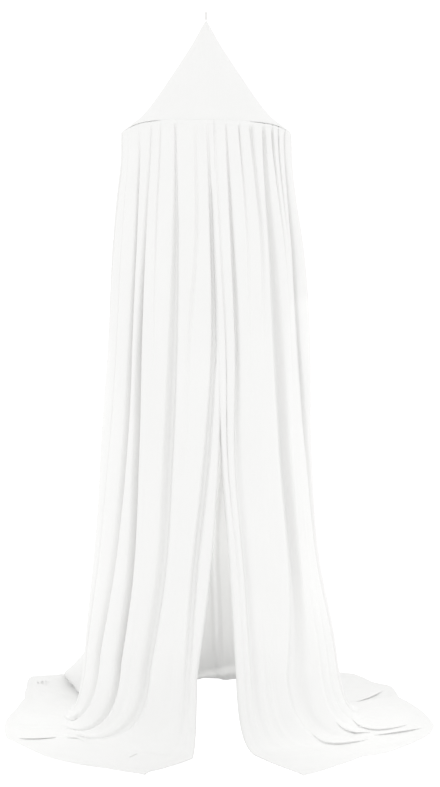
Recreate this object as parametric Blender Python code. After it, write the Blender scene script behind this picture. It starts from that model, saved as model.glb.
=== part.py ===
"""Bed canopy with hoop.

A cone of muslin on a hoop, and one gathered curtain that falls from the hoop, parts low down at the front
and lies spread out on the floor. Metres, +Z up, front towards -Y. The origin is where a hook carries the
hanging loop. Azimuths are degrees from the front, positive towards +X, and heights are above the floor.
"""

import math
from collections import namedtuple

import bmesh
import bpy
import numpy as np

HOOK_HEIGHT = 2.097
APEX_HEIGHT = 2.076
RIM_HEIGHT = 1.736
HOOP_RADIUS = 0.2425
HOOP_ROD_RADIUS = 0.003
SHEET = 0.002
FIT_GAP = 0.0003
CASING_INNER = HOOP_ROD_RADIUS + FIT_GAP
CASING_OUTER = CASING_INNER + SHEET
CASING_SLIT = math.radians(36)
CROWN_EDGE_ANGLE = math.radians(53)
CURTAIN_GAP = 0.001
CURTAIN_OVER_RIM = CASING_OUTER + CURTAIN_GAP + SHEET
CURTAIN_RIM_ANGLES = (42, 12, -20)
LOOP_CORD_RADIUS = 0.0015
LOOP_EYE_WIDTH = 0.009

RIM_STEPS = 40
CASING_STEPS = 8
HOOP_SIDES = 8
LOOP_STEPS = 20
LOOP_SIDES = 6
SHARP_ANGLE = math.radians(50)

# The hoop bows up a little where the cloth pulls it: azimuth, rise and half-width of each bow.
Bow = namedtuple("Bow", "azimuth rise spread")
RIM_BOWS = (
    Bow(-38, 0.007, 24),
    Bow(38, 0.003, 22),
)
CROWN_BOW_HEIGHT = 0.09

# Crown, outer face: height above the floor, radius. It runs straight from the tip and flares at the hoop.
Ring = namedtuple("Ring", "height radius")
CROWN_RINGS = (
    Ring(APEX_HEIGHT, 0.0),
    Ring(2.058, 0.011),
    Ring(2.017, 0.033),
    Ring(1.958, 0.069),
    Ring(1.899, 0.108),
    Ring(1.840, 0.148),
    Ring(1.800, 0.179),
    Ring(1.773, 0.206),
    Ring(1.756, 0.2285),
)
CROWN_LOBES = ((5, 0.0016, 0.7), (9, 0.0012, 2.1))

# Curtain, over the crests of its folds: radius to the front, right, back and left from the rim down.
Girth = namedtuple("Girth", "height front right back left")
GIRTHS = (
    Girth(1.730, 0.2500, 0.2500, 0.2500, 0.2500),
    Girth(1.680, 0.2510, 0.2510, 0.2520, 0.2495),
    Girth(1.544, 0.2540, 0.2660, 0.2640, 0.2630),
    Girth(1.400, 0.2570, 0.2860, 0.2780, 0.2750),
    Girth(1.130, 0.2620, 0.3060, 0.3040, 0.2880),
    Girth(0.800, 0.2690, 0.3140, 0.3400, 0.3110),
    Girth(0.508, 0.2760, 0.3310, 0.3750, 0.3310),
    Girth(0.242, 0.2880, 0.3790, 0.4080, 0.3550),
    Girth(0.000, 0.3050, 0.4050, 0.4080, 0.3680),
)

# Where the curtain turns out on the floor: height at which the bend starts, and how far the bend reaches out.
Bend = namedtuple("Bend", "start reach")
BENDS = {
    "front": Bend(0.20, 0.08),
    "right": Bend(0.20, 0.06),
    "back": Bend(0.20, 0.05),
    "left": Bend(0.25, 0.05),
}
BEND_KNEE = 0.02

# Share of a fold's turn from its foot to its hem that it makes in the bend, by its azimuth at the hem, how late in
# the bend it turns, and how fast its valley closes there.
Sweep = namedtuple("Sweep", "azimuth share")
SWEEPS = (
    Sweep(-18, 0.05),
    Sweep(-24, 0.20),
    Sweep(-36, 0.45),
    Sweep(-66, 0.72),
    Sweep(-314, 0.72),
    Sweep(-321, 0.55),
    Sweep(-333, 0.40),
)
SWEEP_POWER = 2.2
BEND_FADE = 1.6

# At the back left a broad run of cloth is drawn away from the wall: its azimuth and half width at the foot, how much
# sooner it turns out, how much higher and further out its bend lies, and how much further it reaches.
FLARE_AZIMUTH = -124
FLARE_WIDTH = 14
FLARE_SOONER = 0.03
FLARE_HIGHER = 0.08
FLARE_OUT = 0.08
FLARE_FURTHER = 0.18

# Hem on the floor: azimuth round from the left front edge to the right front edge, and radius.
Hem = namedtuple("Hem", "azimuth radius")
HEM = (
    Hem(-18, 0.512),
    Hem(-21, 0.507),
    Hem(-31, 0.508),
    Hem(-50, 0.548),
    Hem(-62, 0.560),
    Hem(-73, 0.590),
    Hem(-102, 0.589),
    Hem(-112, 0.612),
    Hem(-121, 0.674),
    Hem(-130, 0.762),
    Hem(-137, 0.712),
    Hem(-150, 0.655),
    Hem(-165, 0.620),
    Hem(-190, 0.635),
    Hem(-210, 0.660),
    Hem(-223, 0.724),
    Hem(-232, 0.690),
    Hem(-238, 0.705),
    Hem(-248, 0.652),
    Hem(-267, 0.662),
    Hem(-275, 0.668),
    Hem(-282, 0.654),
    Hem(-292, 0.614),
    Hem(-304, 0.574),
    Hem(-308, 0.542),
    Hem(-320, 0.540),
    Hem(-333, 0.554),
)

# The curtain's valleys, in order from its left front edge round the back to its right front edge. Azimuths and
# depths in millimetres at six heights and at the hem; width across the crests beside a valley, in millimetres, at
# the rim, half way and at the foot; flat is the share of it that is level at the bottom. The first and the last
# row are the cut edges.
FOLD_HEIGHTS = (1.730, 1.430, 1.130, 0.800, 0.480, 0.190)
HEM_KNOT = 0.0
Valley = namedtuple("Valley", "azimuths depths widths flat")
FRONT_LEFT = (
    Valley((3.3, 5.2, 7.2, 7.2, 2.4, -5.0, -18), (1, 3, 4, 4, 3, 4, 2), (6, 10, 14), 0.3),
    Valley((0.8, 4.0, 5.2, 0.4, -6.8, -10.5, -24), (2, 9, 10, 13, 12, 6, 2), (10, 22, 24), 0.4),
    Valley((-7.1, -6.0, -10.6, -12.5, -14.8, -19.0, -38), (3, 4, 3, 1, 0, 2, 1), (12, 16, 30), 0.2),
    Valley((-19.9, -19.2, -20.4, -22.8, -26.0, -33.9, -73), (3, 13, 18, 19, 16, 18, 12), (10, 32, 38), 0.35),
    Valley((-30.6, -32.4, -33.0, -33.5, -36.5, -42.0, -80), (3, 3, 1, 0, 0, 2, 2), (8, 10, 24), 0.2),
    Valley((-38.1, -41.0, -43.6, -43.5, -44.7, -50.0, -84), (4, 9, 26, 25, 26, 28, 18), (10, 24, 30), 0.25),
    Valley((-49.6, -48.5, -50.8, -52.3, -57.4, -66.0, -100), (2, 16, 21, 19, 16, 22, 18), (10, 22, 34), 0.2),
    Valley((-63.0, -63.0, -65.0, -67.0, -72.0, -80.0, -113), (1, 2, 3, 3, 4, 8, 8), (8, 12, 20), 0.2),
)
FRONT_RIGHT = (
    Valley((-294.2, -296.5, -297.6, -288, -281, -276, -257), (16, 24, 28, 22, 10, 12, 10), (14, 38, 34), 0.4),
    Valley((-304.2, -301.5, -298.9, -294, -291, -289, -266), (17, 2, 0, 0, 0, 4, 4), (8, 12, 24), 0.2),
    Valley((-310.9, -306.0, -304.3, -301.4, -298, -296, -275), (14, 4, 1, 0, 0, 4, 5), (10, 14, 28), 0.2),
    Valley((-319.5, -316.6, -313.8, -309.4, -304.8, -313.0, -289), (9, 18, 24, 27, 26, 19, 13), (14, 50, 88), 0.5),
    Valley((-329.4, -323.8, -324.1, -322.2, -321.2, -325, -307), (9, 6, 1, 0, 0, 2, 2), (16, 16, 24), 0.3),
    Valley((-338.4, -333.7, -333.4, -331.5, -329.7, -328.8, -314), (6, 3, 1, 0, 0, 2, 1), (10, 12, 20), 0.2),
    Valley((-347.0, -343.6, -341.0, -341.8, -337.0, -334.5, -321), (2, 11, 13, 9, 9, 7, 2), (8, 18, 80), 0.3),
    Valley((-354.4, -351.3, -348.0, -347.1, -341.6, -339.5, -328), (1, 3, 4, 4, 2, 2, 1), (8, 10, 14), 0.2),
    Valley((-356.4, -354.9, -353.2, -350.6, -346.0, -343.6, -333), (1, 8, 11, 9, 4, 4, 2), (6, 10, 14), 0.3),
)

# Between the two, valleys round the sides and the back, evenly spread but for a sway: how many, the azimuths
# between which they lie at the rim, foot and hem, how far each has drifted from its place at the rim to that
# at the foot and sways beside it in degrees at the six heights, and depth and width in millimetres.
BACK_COUNT = 12
BACK_SPANS = ((-76, -279), (-93, -262), (-124, -245))
BACK_DRIFT = (0.0, 0.25, 0.5, 0.5, 0.8, 1.0)
BACK_SWAY = (0.0, 3.0, 3.0, -1.5, 1.5, 0.0)
BACK_SWAY_TURN = 2.4
BACK_DEPTH_TURN = 1.7
BACK_DEPTH_CHANGE = 0.2
BACK_FLAT = 0.25
BACK_DEPTHS = (9, 19, 21, 21, 21, 22, 14)
BACK_WIDTHS = (12, 34, 40)

# Height of the crests over the floor where the bend ends and at the hem, and the valley depth that would
# reach the floor there; the share of it that is left at both, for the cloth lies flatter than it hangs.
CREST_AT_BEND_END = 0.014
CREST_AT_HEM = 0.004
FULL_DEPTH_ON_FLOOR = 0.024
LEFT_AT_BEND_END = 0.3
LEFT_AT_HEM = 0.3
CROWDED_SHARE = 0.46

# Each valley is cut at its shoulders and the two sides of its bottom, with a crest line between two valleys,
# and the curtain into these rows: heights on the wall down to the bend, shares of the bend and of the floor band.
WALL_ROWS = (1.715, 1.66, 1.55, 1.43, 1.28, 1.13, 0.96, 0.80, 0.64, 0.48, 0.34)
BEND_ROWS = (0.0, 0.3, 0.6, 1.0)
FLOOR_ROWS = (0.5, 1.0)

MUSLIN = (0.92, 0.92, 0.91)
ROD_PAINT = (0.85, 0.85, 0.84)


def level(height):
    """Height above the floor as z below the hook."""
    return height - HOOK_HEIGHT


def clear_scene():
    for item in list(bpy.data.objects):
        bpy.data.objects.remove(item, do_unlink=True)


def material(name, colour, roughness, metallic=0.0):
    finish = bpy.data.materials.new(name)
    finish.use_nodes = True
    shader = finish.node_tree.nodes["Principled BSDF"]
    shader.inputs["Base Color"].default_value = (*colour, 1.0)
    shader.inputs["Roughness"].default_value = roughness
    shader.inputs["Metallic"].default_value = metallic
    return finish


def add_object(name, form, finish):
    mesh = bpy.data.meshes.new(name)
    bmesh.ops.recalc_face_normals(form, faces=form.faces)
    form.to_mesh(mesh)
    form.free()
    mesh.shade_smooth()
    mesh.set_sharp_from_angle(angle=SHARP_ANGLE)
    mesh.materials.append(finish)
    item = bpy.data.objects.new(name, mesh)
    bpy.context.scene.collection.objects.link(item)
    return item


def rim_rise(azimuth):
    """How far the hoop bows up at an azimuth, in metres."""
    rise = 0.0
    for bow in RIM_BOWS:
        away = (azimuth - bow.azimuth + 180) % 360 - 180
        rise = rise + bow.rise * np.exp(-((away / bow.spread) ** 2))
    return rise


def rim_azimuths():
    return [360 * step / RIM_STEPS for step in range(RIM_STEPS)]


def around(radius, azimuth, height):
    """Point at a radius and azimuth from the axis."""
    turn = math.radians(azimuth)
    return (radius * math.sin(turn), -radius * math.cos(turn), level(height))


def bridge_rings(form, rings, closed):
    """Faces between rings of vertices, each ring closed on itself."""
    pairs = list(zip(rings, rings[1:] + rings[:1])) if closed else list(zip(rings, rings[1:]))
    for first, second in pairs:
        for side, corner in enumerate(first):
            beside = (side + 1) % len(first)
            form.faces.new((corner, first[beside], second[beside], second[side]))


def hoop_section(radius, angles):
    """Points round the hoop's rod: distance out from the hoop's line, and above it."""
    return [(radius * math.cos(angle), radius * math.sin(angle)) for angle in angles]


def sweep_round_rim(name, section, finish):
    """A closed section carried once round the bowed rim."""
    form = bmesh.new()
    rings = []
    for azimuth in rim_azimuths():
        height = RIM_HEIGHT + rim_rise(azimuth)
        rings.append([form.verts.new(around(HOOP_RADIUS + out, azimuth, height + up)) for out, up in section])
    bridge_rings(form, rings, closed=True)
    return add_object(name, form, finish)


def make_hoop():
    angles = [2 * math.pi * side / HOOP_SIDES for side in range(HOOP_SIDES)]
    finish = material("painted_rod", ROD_PAINT, 0.45)
    return sweep_round_rim("hoop", hoop_section(HOOP_ROD_RADIUS, angles), finish)


def make_rim_casing():
    """Cloth channel round the rod, open along its inner side."""
    first = math.pi + CASING_SLIT / 2
    last = 3 * math.pi - CASING_SLIT / 2
    angles = [first + (last - first) * step / CASING_STEPS for step in range(CASING_STEPS + 1)]
    # A facet's middle lies nearer the rod than its corners, so the inner face is drawn that much wider.
    facet = math.cos((last - first) / CASING_STEPS / 2)
    section = hoop_section(CASING_OUTER, angles) + hoop_section(CASING_INNER / facet, reversed(angles))
    return sweep_round_rim("rim_casing", section, material("muslin_casing", MUSLIN, 0.9))


def crown_faces():
    """Outer and inner face of the crown, tip to edge, as lists of (radius, height)."""
    outer = [(ring.radius, ring.height) for ring in CROWN_RINGS]
    over_casing = CASING_OUTER + FIT_GAP
    reach = (math.cos(CROWN_EDGE_ANGLE), math.sin(CROWN_EDGE_ANGLE))
    outer.append(tuple(
        base + (over_casing + SHEET) * part
        for base, part in zip((HOOP_RADIUS, RIM_HEIGHT), reach)
    ))
    inner = []
    for index in range(1, len(outer) - 1):
        before, here, after = outer[index - 1], outer[index], outer[index + 1]
        run = (after[0] - before[0], after[1] - before[1])
        length = math.hypot(*run)
        inner.append((here[0] + SHEET * run[1] / length, here[1] - SHEET * run[0] / length))
    inner.append(tuple(
        base + over_casing * part for base, part in zip((HOOP_RADIUS, RIM_HEIGHT), reach)
    ))
    half_angle = math.atan2(outer[2][0], outer[0][1] - outer[2][1])
    tip = (0.0, outer[0][1] - SHEET / math.sin(half_angle))
    return outer, [tip] + inner


def crown_point(radius, azimuth, height):
    """A crown point with the rim's bow and the cloth's slack lobes, which die out at the tip and the edge."""
    near_rim = min(1.0, max(0.0, 1 - (height - RIM_HEIGHT) / CROWN_BOW_HEIGHT))
    down = (APEX_HEIGHT - height) / (APEX_HEIGHT - RIM_HEIGHT)
    slack = math.sin(math.pi * min(1.0, max(0.0, down)))
    lobe = sum(size * math.sin(count * math.radians(azimuth) + phase) for count, size, phase in CROWN_LOBES)
    return around(radius + slack * lobe, azimuth, height + near_rim * rim_rise(azimuth))


def make_crown():
    form = bmesh.new()
    tips = []
    edges = []
    for face in crown_faces():
        tips.append(form.verts.new(around(0.0, 0.0, face[0][1])))
        rings = [
            [form.verts.new(crown_point(radius, azimuth, height)) for azimuth in rim_azimuths()]
            for radius, height in face[1:]
        ]
        for side, corner in enumerate(rings[0]):
            form.faces.new((tips[-1], corner, rings[0][(side + 1) % RIM_STEPS]))
        bridge_rings(form, rings, closed=False)
        edges.append(rings[-1])
    bridge_rings(form, edges, closed=False)
    return add_object("crown", form, material("muslin_crown", MUSLIN, 0.9))


def smooth(knots, values, where):
    """Smooth curve through values at falling knots, read at heights."""
    knots = np.array(knots)[::-1]
    values = np.array(values, dtype=float)[::-1]
    slopes = np.gradient(values, knots, axis=0)
    where = np.clip(where, knots[0], knots[-1])
    cell = np.clip(np.searchsorted(knots, where) - 1, 0, len(knots) - 2)
    width = knots[cell + 1] - knots[cell]
    share = (where - knots[cell]) / width
    rest = 1 - share
    start = values[cell] * (1 + 2 * share) * rest**2 + slopes[cell] * width * share * rest**2
    end = values[cell + 1] * (3 - 2 * share) * share**2 - slopes[cell + 1] * width * rest * share**2
    return start + end


def by_direction(azimuth, sides):
    """Blend of four values, to the front, right, back and left, at an azimuth."""
    turn = np.radians(azimuth)
    ahead = np.cos(turn)
    across = np.sin(turn)
    front, right, back, left = sides
    return np.where(ahead > 0, front, back) * ahead**2 + np.where(across > 0, right, left) * across**2


def girth(azimuth, height):
    """Radius of the curtain over the crests of its folds."""
    heights = [row.height for row in GIRTHS]
    sides = [smooth(heights, [getattr(row, side) for row in GIRTHS], height)
             for side in ("front", "right", "back", "left")]
    return by_direction(azimuth, sides)


def hem_radius(azimuth):
    return np.interp(-azimuth, [-row.azimuth for row in HEM], [row.radius for row in HEM])


def back_valleys():
    """The valleys that the photo doesn't show, spread between the front ones."""
    valleys = []
    for index in range(BACK_COUNT):
        share = index / (BACK_COUNT - 1)
        rim, foot, hem = (first + (last - first) * share for first, last in BACK_SPANS)
        turn = math.sin(BACK_SWAY_TURN * index)
        down = [rim + (foot - rim) * drift + sway * turn for drift, sway in zip(BACK_DRIFT, BACK_SWAY)]
        deeper = 1 + BACK_DEPTH_CHANGE * math.sin(BACK_DEPTH_TURN * index)
        depths = tuple(depth * deeper for depth in BACK_DEPTHS)
        valleys.append(Valley((*down, hem), depths, BACK_WIDTHS, BACK_FLAT))
    return valleys


def all_valleys():
    return list(FRONT_LEFT) + back_valleys() + list(FRONT_RIGHT)


def valley_reach(valleys):
    """Half-widths of the valleys in degrees at the table's heights and the hem, kept clear of their neighbours."""
    azimuths = np.array([valley.azimuths for valley in valleys], dtype=float)
    heights = FOLD_HEIGHTS + (HEM_KNOT,)
    knots = (FOLD_HEIGHTS[0], FOLD_HEIGHTS[2], FOLD_HEIGHTS[-1])
    widths = np.array([smooth(knots, valley.widths, np.array(heights)) for valley in valleys]) / 1000
    radii = np.array([girth(azimuths[:, i], np.full(len(valleys), height)) for i, height in enumerate(heights)]).T
    half = np.degrees(widths / 2 / radii)
    room = -np.diff(azimuths, axis=0) * CROWDED_SHARE
    before = np.minimum(half[1:], room)
    after = np.minimum(half[:-1], room)
    return azimuths, np.vstack([half[:1] * 0, before]), np.vstack([after, half[-1:] * 0])


def curtain_columns():
    """Azimuth and depth of every column at the table's heights and the hem."""
    valleys = all_valleys()
    azimuths, before, after = valley_reach(valleys)
    columns = []
    for index, valley in enumerate(valleys):
        depth = np.array(valley.depths) / 1000
        if index > 0:
            columns.append((azimuths[index] + before[index], depth * 0))
            columns.append((azimuths[index] + before[index] * valley.flat, depth))
        else:
            columns.append((azimuths[index], depth))
        if index < len(valleys) - 1:
            if index > 0:
                columns.append((azimuths[index] - after[index] * valley.flat, depth))
            shoulder = azimuths[index] - after[index]
            columns.append((shoulder, depth * 0))
            columns.append(((shoulder + azimuths[index + 1] + before[index + 1]) / 2, depth * 0))
        else:
            columns.append((azimuths[index], depth))
    return np.array([column[0] for column in columns]).T, np.array([column[1] for column in columns]).T


def curtain_points():
    """Outer face of the curtain, as rows of points from the rim to the hem."""
    azimuths, depths = curtain_columns()
    count = azimuths.shape[1]
    whole = np.ones(count)
    sides = ("front", "right", "back", "left")
    rows = []
    for angle in CURTAIN_RIM_ANGLES:
        out = CURTAIN_OVER_RIM * math.cos(math.radians(angle))
        up = CURTAIN_OVER_RIM * math.sin(math.radians(angle))
        rows.append((azimuths[0], whole * (HOOP_RADIUS + out), RIM_HEIGHT + rim_rise(azimuths[0]) + up, whole * 0))

    def wall_row(height):
        azimuth = np.array([smooth(FOLD_HEIGHTS, azimuths[:-1, i], height[i]) for i in range(count)])
        depth = np.array([smooth(FOLD_HEIGHTS, depths[:-1, i], height[i]) for i in range(count)])
        return azimuth, girth(azimuth, height), height, depth

    for height in WALL_ROWS:
        rows.append(wall_row(whole * height))
    flare = np.exp(-(((azimuths[-2] - FLARE_AZIMUTH) / FLARE_WIDTH) ** 2))
    start = by_direction(azimuths[-2], [BENDS[side].start for side in sides]) + FLARE_SOONER * flare
    reach = by_direction(azimuths[-1], [BENDS[side].reach for side in sides]) + FLARE_FURTHER * flare
    azimuth_in, radius_in, height_in, depth_in = wall_row(start)
    sweep = np.interp(-azimuths[-1], [-row.azimuth for row in SWEEPS], [row.share for row in SWEEPS])
    crest = SHEET + CREST_AT_BEND_END
    for share in BEND_ROWS:
        rest = 1 - share
        azimuth = azimuth_in + (azimuths[-1] - azimuth_in) * sweep * share**SWEEP_POWER
        knee = girth(azimuth, whole * 0) + FLARE_OUT * flare
        radius = rest**2 * radius_in + 2 * share * rest * knee + share**2 * (knee + reach)
        height = rest**2 * height_in + 2 * share * rest * (BEND_KNEE + FLARE_HIGHER * flare) + share**2 * crest
        on_floor = CREST_AT_BEND_END * LEFT_AT_BEND_END * np.minimum(1, depths[-2] / FULL_DEPTH_ON_FLOOR)
        rows.append((azimuth, radius, height, rest**BEND_FADE * depth_in + share * on_floor))
    azimuth_in, radius_in = rows[-1][0], rows[-1][1]
    for share in FLOOR_ROWS:
        azimuth = azimuth_in + (azimuths[-1] - azimuth_in) * share
        radius = radius_in + (hem_radius(azimuth) - radius_in) * share
        crest = CREST_AT_BEND_END + (CREST_AT_HEM - CREST_AT_BEND_END) * share
        left = LEFT_AT_BEND_END + (LEFT_AT_HEM - LEFT_AT_BEND_END) * share
        on_floor = crest * left * np.minimum(1, depths[-1] / FULL_DEPTH_ON_FLOOR)
        rows.append((azimuth, radius, whole * (SHEET + crest), on_floor))
    azimuth, radius, height, depth = [np.array(part) for part in zip(*rows)]
    run_out = np.gradient(radius, axis=0)
    run_down = -np.gradient(height, axis=0)
    run = np.hypot(run_out, run_down)
    radius = radius - depth * run_down / run
    height = np.maximum(height - depth * run_out / run, SHEET)
    turn = np.radians(azimuth)
    return np.stack([radius * np.sin(turn), -radius * np.cos(turn), level(height)], axis=-1)


def make_curtain():
    form = bmesh.new()
    grid = [[form.verts.new(point) for point in row] for row in curtain_points()]
    for upper, lower in zip(grid, grid[1:]):
        for side in range(len(upper) - 1):
            form.faces.new((upper[side], upper[side + 1], lower[side + 1], lower[side]))
    finish = material("muslin_curtain", MUSLIN, 0.9)
    mesh = bpy.data.meshes.new("curtain")
    form.to_mesh(mesh)
    form.free()
    mesh.shade_smooth()
    mesh.materials.append(finish)
    curtain = bpy.data.objects.new("curtain", mesh)
    bpy.context.scene.collection.objects.link(curtain)
    thickness = curtain.modifiers.new("cloth", "SOLIDIFY")
    thickness.thickness = SHEET
    thickness.offset = -1
    return curtain


def make_hanging_loop():
    """Oval ring of cord, standing on the crown's tip in the front-to-back plane."""
    cord_top = HOOK_HEIGHT + LOOP_CORD_RADIUS
    cord_bottom = APEX_HEIGHT + FIT_GAP + LOOP_CORD_RADIUS
    half_height = (cord_top - cord_bottom) / 2
    half_width = LOOP_EYE_WIDTH / 2 + LOOP_CORD_RADIUS
    form = bmesh.new()
    rings = []
    for step in range(LOOP_STEPS):
        turn = 2 * math.pi * step / LOOP_STEPS
        centre = (half_width * math.sin(turn), half_height * math.cos(turn))
        out = (half_height * math.sin(turn), half_width * math.cos(turn))
        length = math.hypot(*out)
        ring = []
        for side in range(LOOP_SIDES):
            angle = 2 * math.pi * side / LOOP_SIDES
            away = LOOP_CORD_RADIUS * math.cos(angle) / length
            ring.append(form.verts.new((
                LOOP_CORD_RADIUS * math.sin(angle),
                centre[0] + out[0] * away,
                level((cord_top + cord_bottom) / 2 + centre[1] + out[1] * away),
            )))
        rings.append(ring)
    bridge_rings(form, rings, closed=True)
    return add_object("hanging_loop", form, material("cotton_cord", MUSLIN, 0.85))


def main():
    clear_scene()
    make_hanging_loop()
    make_crown()
    make_rim_casing()
    make_hoop()
    make_curtain()


main()
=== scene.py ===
"""Looks of the bed canopy with hoop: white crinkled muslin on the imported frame, in metres, +Z up.

The cloth follows the same folds as the frame's solids, at a finer step, with the gathers, creases, hems and
sewing that the solids leave out. Azimuths are degrees from the front, positive towards +X.
"""

import math
from collections import namedtuple

import bpy
import numpy as np
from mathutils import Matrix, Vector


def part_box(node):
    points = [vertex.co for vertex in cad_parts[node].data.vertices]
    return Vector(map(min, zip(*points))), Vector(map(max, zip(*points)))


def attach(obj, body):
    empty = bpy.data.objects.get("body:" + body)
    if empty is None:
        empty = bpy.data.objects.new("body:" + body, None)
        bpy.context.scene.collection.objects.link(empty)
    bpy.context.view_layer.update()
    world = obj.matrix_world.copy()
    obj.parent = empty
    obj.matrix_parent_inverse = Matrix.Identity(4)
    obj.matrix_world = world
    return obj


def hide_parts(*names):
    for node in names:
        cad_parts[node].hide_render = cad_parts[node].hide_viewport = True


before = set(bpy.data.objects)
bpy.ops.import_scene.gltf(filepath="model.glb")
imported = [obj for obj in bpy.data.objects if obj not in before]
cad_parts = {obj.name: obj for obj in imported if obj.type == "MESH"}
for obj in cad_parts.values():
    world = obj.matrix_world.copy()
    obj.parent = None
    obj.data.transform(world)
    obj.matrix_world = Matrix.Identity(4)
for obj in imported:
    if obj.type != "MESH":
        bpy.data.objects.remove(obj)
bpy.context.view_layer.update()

# Heights above the floor, in metres. The hook is the frame's origin, and FLOOR is the lowest level of the
# packed curtain in the frame.
HOOK_HEIGHT = 2.097
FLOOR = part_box("curtain")[0].z
APEX_HEIGHT = 2.076
RIM_HEIGHT = 1.736
HOOP_RADIUS = 0.2425
HOOP_ROD_RADIUS = 0.003
CASING_RADIUS = 0.0051

# Where the crown is sewn to the curtain, in degrees round the hoop's channel from its outermost line up:
# over the top at the front, round to the outer side at the canopy's sides, turning between the azimuths
# SEAM_TURNS. Towards the sides the crown's edge stands off as a lip, and the seam gapes: from the first
# of the SEAM_GAPES, fully between the second and the third, and from the fourth on by the share
# SEAM_GAPE_LEFT. In degrees round the channel, the curtain's top passes under the crown's edge by
# SEAM_OVERLAP, gapes by SEAM_GAPE, and the edge drops by SEAM_DROP. In metres, LIP is how far the crown's
# edge stands off there, and TUCK how much closer the curtain lies.
SEAM_ANGLE = (52.0, 2.0)
SEAM_TURNS = (48.0, 70.0)
SEAM_OVERLAP = 6.0
SEAM_GAPE = 16.0
SEAM_GAPES = (24, 34, 54, 72)
SEAM_GAPE_LEFT = 0.4
SEAM_DROP = 8.0
LIP = 0.0030
TUCK = 0.0012

# Radii of the crown's edge and of the curtain's top round the middle of the channel, and the angles,
# measured as above, from which the crown lies on the channel and down to which the curtain does.
CROWN_OVER_RIM = 0.0066
CROWN_LEAVES_RIM = 62.0
CURTAIN_OVER_RIM = 0.0096
CURTAIN_RIM_STEPS = 7
CURTAIN_RIM_END = -20.0

# The valleys press into the curtain's top by a share of their depth, up to a limit.
RIM_PLEAT = 0.0018
PLEAT_SHARE = 0.15

# Thickness of the visible cloth, and of the sheet that stands for it in the frame.
CLOTH = 0.0011
SHEET = 0.002

LOOP_CORD_RADIUS = 0.0015
LOOP_EYE_WIDTH = 0.009
LOOP_GAP = 0.0003

# The loop's cord as twisted strands: the core and how far a strand stands out, as shares of the cord's
# radius, how many strands, and how many of them pass one side of the cord on the way round the loop.
CORD_CORE = 0.9
CORD_STRAND = 0.12
CORD_STRANDS = 3
CORD_TWIST = 15

# The hoop bows up a little at both sides of the front, and the crown follows it over its lowest part.
Bow = namedtuple("Bow", "azimuth rise spread")
RIM_BOWS = (
    Bow(-38, 0.007, 24),
    Bow(38, 0.003, 22),
)
CROWN_BOW_HEIGHT = 0.09

Ring = namedtuple("Ring", "height radius")
CROWN_RINGS = (
    Ring(APEX_HEIGHT, 0.0),
    Ring(2.058, 0.011),
    Ring(2.017, 0.033),
    Ring(1.958, 0.069),
    Ring(1.899, 0.108),
    Ring(1.840, 0.148),
    Ring(1.800, 0.179),
    Ring(1.773, 0.206),
    Ring(1.756, 0.2285),
    Ring(1.7418, 0.2456),
)

# Slack in the crown as waves round it: how many, how high, and turned by how many radians. The crown is
# closed at its tip by a ring a small share of the way down.
CROWN_LOBES = ((5, 0.0016, 0.7), (9, 0.0012, 2.1))
CROWN_TIP_SHARE = 0.012

# Radii of the curtain's crests to four sides.
Girth = namedtuple("Girth", "height front right back left")
GIRTHS = (
    Girth(1.730, 0.2500, 0.2500, 0.2500, 0.2500),
    Girth(1.680, 0.2510, 0.2510, 0.2520, 0.2495),
    Girth(1.544, 0.2540, 0.2660, 0.2640, 0.2630),
    Girth(1.400, 0.2570, 0.2860, 0.2780, 0.2750),
    Girth(1.130, 0.2620, 0.3060, 0.3040, 0.2880),
    Girth(0.800, 0.2690, 0.3140, 0.3400, 0.3110),
    Girth(0.508, 0.2760, 0.3310, 0.3750, 0.3310),
    Girth(0.242, 0.2880, 0.3790, 0.4080, 0.3550),
    Girth(0.000, 0.3050, 0.4050, 0.4080, 0.3680),
)

# The bend in which the wall turns out on the floor: the height where it starts, how far it reaches beyond
# the wall's line at the floor, and the height of the corner that it rounds.
Bend = namedtuple("Bend", "start reach")
BENDS = {
    "front": Bend(0.20, 0.08),
    "right": Bend(0.20, 0.06),
    "back": Bend(0.20, 0.05),
    "left": Bend(0.25, 0.05),
}
BEND_KNEE = 0.02

# Share of a fold's turn from its foot to its hem that it makes in the bend, by its azimuth at the hem,
# how late in the bend it turns, and how fast its wall valley closes there.
Sweep = namedtuple("Sweep", "azimuth share")
SWEEPS = (
    Sweep(-18, 0.05),
    Sweep(-24, 0.20),
    Sweep(-36, 0.45),
    Sweep(-66, 0.72),
    Sweep(-314, 0.72),
    Sweep(-321, 0.55),
    Sweep(-333, 0.40),
)
SWEEP_POWER = 2.2
BEND_FADE = 1.6

# At the back left a broad run of cloth is drawn away from the wall: its azimuth and half width at the
# foot, how much higher it starts to turn out, how much higher and further out its bend lies, and how much
# further it reaches.
FLARE_AZIMUTH = -124
FLARE_WIDTH = 14
FLARE_SOONER = 0.03
FLARE_HIGHER = 0.08
FLARE_OUT = 0.08
FLARE_FURTHER = 0.18

# Outline of the spread cloth on the floor.
Hem = namedtuple("Hem", "azimuth radius")
HEM = (
    Hem(-18, 0.512),
    Hem(-21, 0.507),
    Hem(-31, 0.508),
    Hem(-50, 0.548),
    Hem(-62, 0.560),
    Hem(-73, 0.590),
    Hem(-102, 0.589),
    Hem(-112, 0.612),
    Hem(-121, 0.674),
    Hem(-130, 0.762),
    Hem(-137, 0.712),
    Hem(-150, 0.655),
    Hem(-165, 0.620),
    Hem(-190, 0.635),
    Hem(-210, 0.660),
    Hem(-223, 0.724),
    Hem(-232, 0.690),
    Hem(-238, 0.705),
    Hem(-248, 0.652),
    Hem(-267, 0.662),
    Hem(-275, 0.668),
    Hem(-282, 0.654),
    Hem(-292, 0.614),
    Hem(-304, 0.574),
    Hem(-308, 0.542),
    Hem(-320, 0.540),
    Hem(-333, 0.554),
)

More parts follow.
